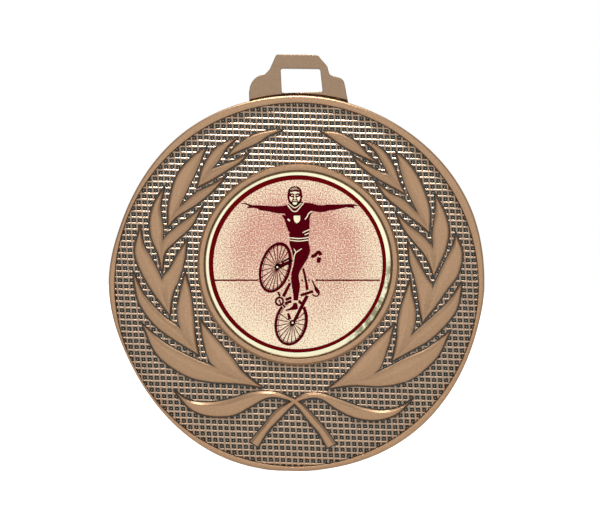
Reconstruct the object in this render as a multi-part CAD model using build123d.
"""Sports award medal: a die-cast zinc disc with a laurel wreath and a printed metal centre.

The medal stands upright. +Z runs up through the ribbon loop, the front faces -Y and +X is
the viewer's right. The origin is the centre of the disc on its back plane, so every
"height" below is a distance in front of the back, towards -Y. Lengths are millimetres."""

import os

from build123d import *

# Disc: a flat back, a sunk field for the relief and a raised rim.
DISC_RADIUS = 25.0
RIM_WIDTH = 0.9
RIM_HEIGHT = 2.6
FIELD_HEIGHT = 1.7
EDGE_CHAMFER = 0.25

# Round recess for the printed centre, with its raised ring, above the middle of the disc.
RECESS_Z = 2.5
RECESS_RADIUS = 12.6
RECESS_FLOOR = 0.9
RING_WIDTH = 0.75
RING_HEIGHT = 2.4

# Laurel wreath and ribbon tails, raised from the field and rooted a little below it.
LEAF_HEIGHT = 2.35
TAIL_HEIGHT = 2.25
RELIEF_ROOT = FIELD_HEIGHT - 0.1

# Ribbon loop, cast in one with the disc: a wide foot, a step and a narrower head.
LOOP_HEIGHT = 1.7
LOOP_X = -0.4
LOOP_ROOT_Z = 23.5
LOOP_SHOULDER_Z = 27.6
LOOP_STEP_Z = 27.8
LOOP_HEAD_Z = 30.5
LOOP_FOOT_HALF = 6.6
LOOP_STEP_HALF = 4.1
LOOP_HEAD_HALF = 2.9
LOOP_SHOULDER_ROUND = 1.3
LOOP_STEP_ROUND = 0.5
LOOP_HEAD_ROUND = 0.4

# Slot through the loop.
SLOT_X = -0.2
SLOT_LOW_Z = 25.4
SLOT_HIGH_Z = 28.7
SLOT_LOW_HALF = 2.75
SLOT_HIGH_HALF = 2.6
SLOT_ROUND = 0.35
CUT_BEHIND = -1.0

# Printed centre: an aluminium cap with its edge rolled down over a backing disc.
EMBLEM_RADIUS = 12.45
EMBLEM_SHEET = 0.3
EMBLEM_HEIGHT = 2.0
EMBLEM_FOOT = 1.1
EMBLEM_EDGE_ROUND = 0.28
PAD_RADIUS = 11.8

# Right-hand branch of the wreath, from the bottom up. A V-shaped pair of leaves is four
# curved edges: stem to outer tip, back to the notch, on to the inner tip, back to the stem.
LEAF_PAIRS = [
    [
        [(4.3, -14.0), (11.0, -13.4), (17.7, -10.75), (20.4, -6.0)],
        [(20.4, -6.0), (15.5, -9.3), (10.4, -11.7)],
        [(10.4, -11.7), (12.4, -8.2), (12.9, -5.3)],
        [(12.9, -5.3), (9.2, -9.1), (4.3, -14.0)],
    ],
    [
        [(12.8, -10.0), (17.2, -7.3), (21.3, -2.9), (21.7, 0.5)],
        [(21.7, 0.5), (19.4, -2.9), (15.25, -6.65)],
        [(15.25, -6.65), (15.85, -3.3), (15.0, 0.8)],
        [(15.0, 0.8), (13.7, -4.3), (12.8, -10.0)],
    ],
    [
        [(16.8, -4.9), (19.3, -1.8), (21.8, 3.4), (21.0, 6.9)],
        [(21.0, 6.9), (19.7, 3.2), (18.0, -0.3)],
        [(18.0, -0.3), (16.3, 2.8), (14.8, 5.5)],
        [(14.8, 5.5), (15.5, 0.9), (16.8, -4.9)],
    ],
    [
        [(18.1, 1.1), (19.9, 6.9), (18.1, 12.2)],
        [(18.1, 12.2), (18.2, 8.3), (18.05, 5.0)],
        [(18.05, 5.0), (15.6, 7.6), (12.9, 9.7)],
        [(12.9, 9.7), (15.5, 5.7), (18.1, 1.1)],
    ],
    [
        [(17.5, 7.1), (16.9, 12.5), (12.7, 17.6)],
        [(12.7, 17.6), (14.2, 13.6), (16.05, 9.5)],
        [(16.05, 9.5), (13.0, 12.1), (10.1, 13.8)],
        [(10.1, 13.8), (13.5, 10.1), (17.5, 7.1)],
    ],
    [
        [(13.9, 12.3), (12.3, 16.3), (8.5, 19.1)],
        [(8.5, 19.1), (10.5, 17.0), (11.9, 14.7)],
        [(11.9, 14.7), (9.3, 15.9), (7.1, 17.1)],
        [(7.1, 17.1), (10.0, 14.6), (13.9, 12.3)],
    ],
]

# Single leaf that closes the right-hand branch at the top.
TOP_LEAF = [
    [(10.3, 16.3), (7.3, 19.1), (2.5, 20.35)],
    [(2.5, 20.35), (6.3, 18.1), (10.3, 16.3)],
]

# Ribbon tail: it sweeps from a leaf-like tip on the right, through the knot under the
# wreath, to a square-cut end at the lower left.
TAIL = [
    [(15.9, -14.8), (12.9, -16.4), (9.4, -16.4), (6.0, -15.3), (3.0, -14.5), (0.4, -15.1),
     (-3.0, -17.6), (-5.9, -21.2)],
    [(-5.9, -21.2), (-4.6, -21.9)],
    [(-4.6, -21.9), (-2.3, -18.5), (0.3, -15.8), (3.0, -15.25), (6.4, -17.0), (10.2, -18.1),
     (13.8, -17.1), (15.9, -14.8)],
]


def raised(face, low, high):
    """Extrude a face drawn in X and Z from one height in front of the back to another."""
    return extrude(Plane.XZ.offset(low) * face, high - low)


def round_piece(radius, low, high):
    """Plain disc on the recess's axis, from one height in front of the back to another."""
    return raised(Pos(0, RECESS_Z) * Circle(radius), low, high)


def outline(edges):
    """Face bounded by a closed chain of edges, each a straight line or a smooth curve."""
    curves = [Line(*edge) if len(edge) == 2 else Spline(*edge) for edge in edges]
    return make_face(curves)


def mirrored(face):
    """The same face on the other side of the medal's upright centre line."""
    return mirror(face, about=Plane.YZ)


def disc_blank():
    """Disc with its rim: a turned profile, broken at the outer edges."""
    inner = DISC_RADIUS - RIM_WIDTH
    profile = Polyline(
        (0, 0),
        (DISC_RADIUS - EDGE_CHAMFER, 0),
        (DISC_RADIUS, -EDGE_CHAMFER),
        (DISC_RADIUS, EDGE_CHAMFER - RIM_HEIGHT),
        (DISC_RADIUS - EDGE_CHAMFER, -RIM_HEIGHT),
        (inner, -RIM_HEIGHT),
        (inner, -FIELD_HEIGHT),
        (0, -FIELD_HEIGHT),
        close=True,
    )
    return revolve(make_face(profile), Axis.Y)


def loop_face():
    """Stepped tab that carries the ribbon, drawn with its rounded corners."""
    foot, step, head = LOOP_FOOT_HALF, LOOP_STEP_HALF, LOOP_HEAD_HALF
    rounds = [LOOP_SHOULDER_ROUND, LOOP_STEP_ROUND, LOOP_HEAD_ROUND]
    corners = FilletPolyline(
        (-foot, LOOP_ROOT_Z),
        (-foot, LOOP_SHOULDER_Z),
        (-step, LOOP_STEP_Z),
        (-head, LOOP_HEAD_Z),
        (head, LOOP_HEAD_Z),
        (step, LOOP_STEP_Z),
        (foot, LOOP_SHOULDER_Z),
        (foot, LOOP_ROOT_Z),
        radius=rounds + rounds[::-1],
    )
    root = Line((foot, LOOP_ROOT_Z), (-foot, LOOP_ROOT_Z))
    return Pos(LOOP_X, 0) * make_face([corners, root])


def slot_face():
    """Opening for the ribbon or its ring, slightly wider at the bottom."""
    corners = Polyline(
        (-SLOT_LOW_HALF, SLOT_LOW_Z),
        (SLOT_LOW_HALF, SLOT_LOW_Z),
        (SLOT_HIGH_HALF, SLOT_HIGH_Z),
        (-SLOT_HIGH_HALF, SLOT_HIGH_Z),
        close=True,
    )
    face = make_face(corners)
    return Pos(SLOT_X, 0) * fillet(face.vertices(), SLOT_ROUND)


def leaf_faces():
    """Every raised leaf of both branches."""
    right = [outline(pair) for pair in LEAF_PAIRS] + [outline(TOP_LEAF)]
    return right + [mirrored(face) for face in right]


def medal_body():
    """The whole casting: disc, rim, recess and ring, wreath, ribbon tails and loop."""
    body = disc_blank()
    body += raised(loop_face(), 0, LOOP_HEIGHT)
    body += round_piece(RECESS_RADIUS + RING_WIDTH, RELIEF_ROOT, RING_HEIGHT)
    for leaf in leaf_faces():
        body += raised(leaf, RELIEF_ROOT, LEAF_HEIGHT)
    tail = outline(TAIL)
    for side in (tail, mirrored(tail)):
        body += raised(side, RELIEF_ROOT, TAIL_HEIGHT)
    body -= round_piece(RECESS_RADIUS, RECESS_FLOOR, RIM_HEIGHT)
    body -= raised(slot_face(), CUT_BEHIND, RIM_HEIGHT)
    return body


def emblem_shell():
    """Pressed aluminium cap of the printed centre, hollow behind its face."""
    shell = round_piece(EMBLEM_RADIUS, EMBLEM_FOOT, EMBLEM_HEIGHT)
    front_edge = shell.edges().filter_by(GeomType.CIRCLE).group_by(Axis.Y)[0]
    shell = fillet(front_edge, EMBLEM_EDGE_ROUND)
    return shell - emblem_core()


def emblem_core():
    """Backing disc that fills the cap and keeps its face flat."""
    return round_piece(EMBLEM_RADIUS - EMBLEM_SHEET, EMBLEM_FOOT, EMBLEM_HEIGHT - EMBLEM_SHEET)


def emblem_adhesive():
    """Double-sided pad that holds the centre to the floor of the recess."""
    return round_piece(PAD_RADIUS, RECESS_FLOOR, EMBLEM_FOOT)


PARTS = {
    "medal_body": medal_body,
    "emblem_shell": emblem_shell,
    "emblem_core": emblem_core,
    "emblem_adhesive": emblem_adhesive,
}

os.makedirs("parts", exist_ok=True)
for name, make in PARTS.items():
    piece = make()
    export_step(piece, f"parts/{name}.step")
    print(name, round(piece.volume, 1), "mm3")
